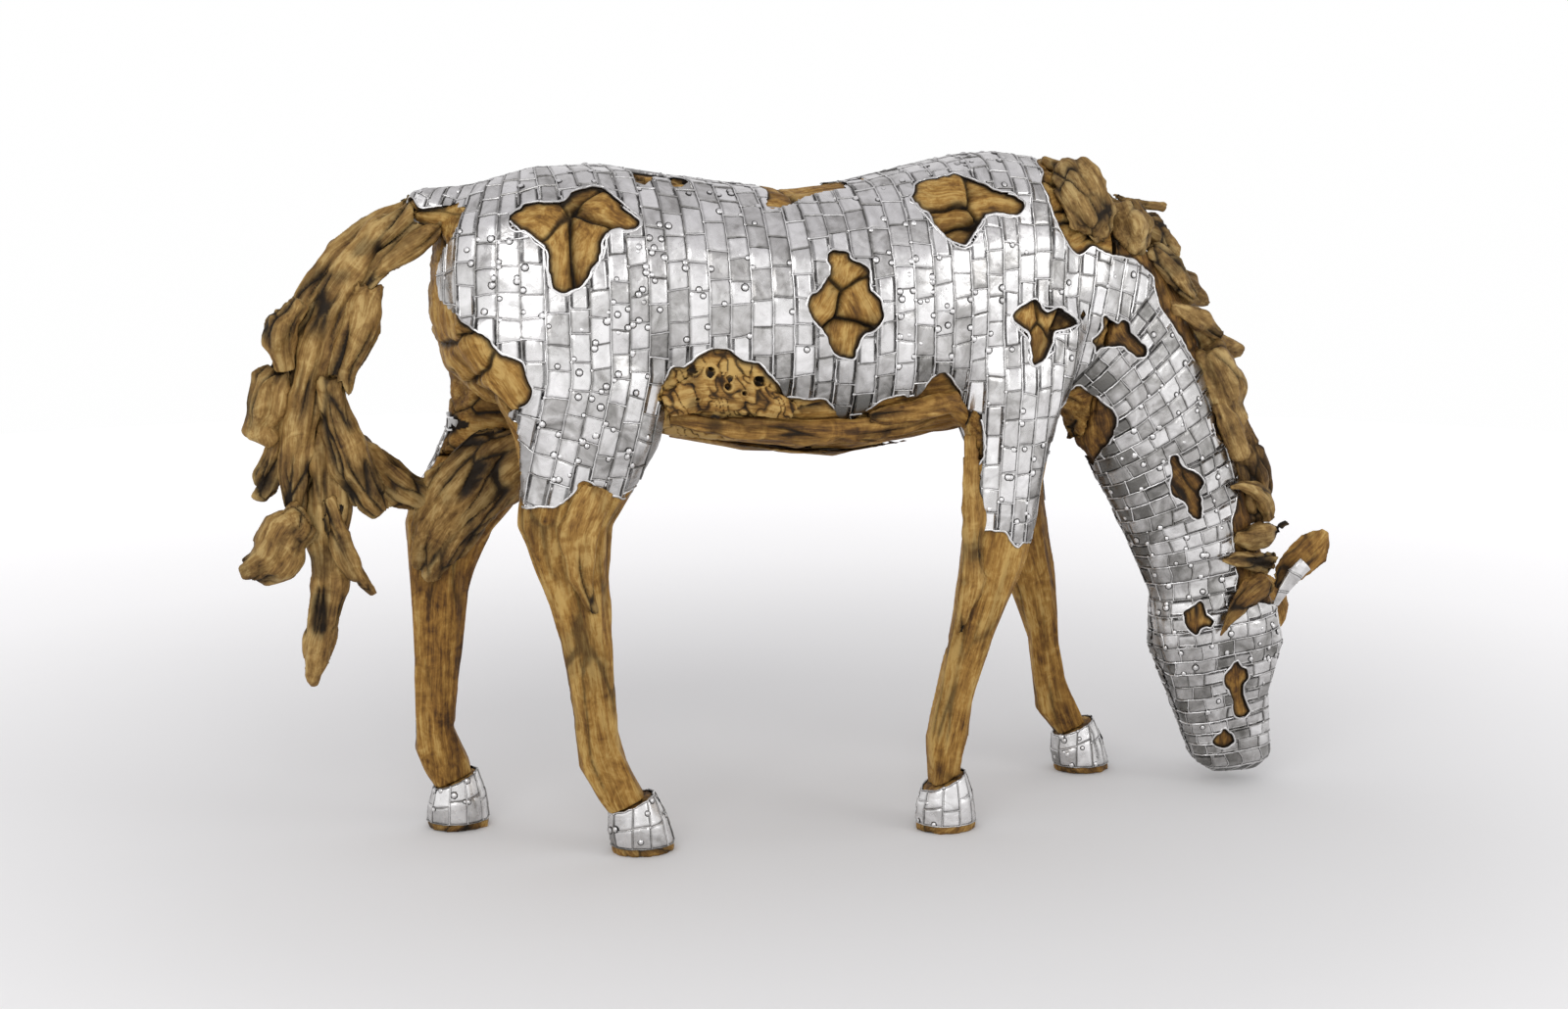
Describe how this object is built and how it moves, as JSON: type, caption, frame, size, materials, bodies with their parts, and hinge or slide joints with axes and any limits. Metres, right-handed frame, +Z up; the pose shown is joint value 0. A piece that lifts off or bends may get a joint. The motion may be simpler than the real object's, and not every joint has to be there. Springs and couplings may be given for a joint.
{
  "type": "metal horse sculpture",
  "caption": "Life-size grazing horse of driftwood clad with welded metal plates, with a root tail and mane, standing on its own four hooves.",
  "frame": {"origin": "on the floor under the middle of the figure's bounding box", "axes": "+X towards the head, +Y to the horse's left side, +Z up"},
  "size_m": [2.768, 0.5754, 1.6614],
  "materials": {
    "driftwood": "brushed driftwood, golden brown with dark singed hollows",
    "bright_metal": "bright sheet, dented, with raised weld beads and rivet heads"
  },
  "bodies": {
    "root": {"torso_wood": "driftwood", "neck_wood": "driftwood", "head_wood": "driftwood", "right_hind_leg": "driftwood", "left_hind_leg": "driftwood", "right_fore_leg": "driftwood", "left_fore_leg": "driftwood", "right_hind_hoof": "driftwood", "left_hind_hoof": "driftwood", "right_fore_hoof": "driftwood", "left_fore_hoof": "driftwood", "belly_knot": "driftwood", "belly_middle": "driftwood", "belly_fore": "driftwood", "belly_keel": "driftwood", "right_hock_piece": "driftwood", "left_hind_root": "driftwood", "right_knee_plank": "driftwood", "tail_root_1": "driftwood", "tail_root_2": "driftwood", "tail_root_3": "driftwood", "tail_root_4": "driftwood", "tail_root_5": "driftwood", "tail_root_6": "driftwood", "tail_root_7": "driftwood", "tail_root_8": "driftwood", "tail_root_9": "driftwood", "tail_root_10": "driftwood", "tail_root_11": "driftwood", "tail_root_12": "driftwood", "mane_chunk_1": "driftwood", "mane_chunk_2": "driftwood", "mane_chunk_3": "driftwood", "mane_chunk_4": "driftwood", "mane_chunk_5": "driftwood", "mane_chunk_6": "driftwood", "mane_chunk_7": "driftwood", "mane_chunk_8": "driftwood", "mane_chunk_9": "driftwood", "mane_chunk_10": "driftwood", "mane_chunk_11": "driftwood", "mane_chunk_12": "driftwood", "mane_chunk_13": "driftwood", "mane_chunk_14": "driftwood", "mane_chunk_15": "driftwood", "forelock_horn": "driftwood", "right_ear": "driftwood", "left_ear": "driftwood", "metal_cladding": "bright_metal", "right_hind_hoof_wrap": "bright_metal", "left_hind_hoof_wrap": "bright_metal", "right_fore_hoof_wrap": "bright_metal", "left_fore_hoof_wrap": "bright_metal", "right_ear_facing": "bright_metal"}
  },
  "joints": []
}
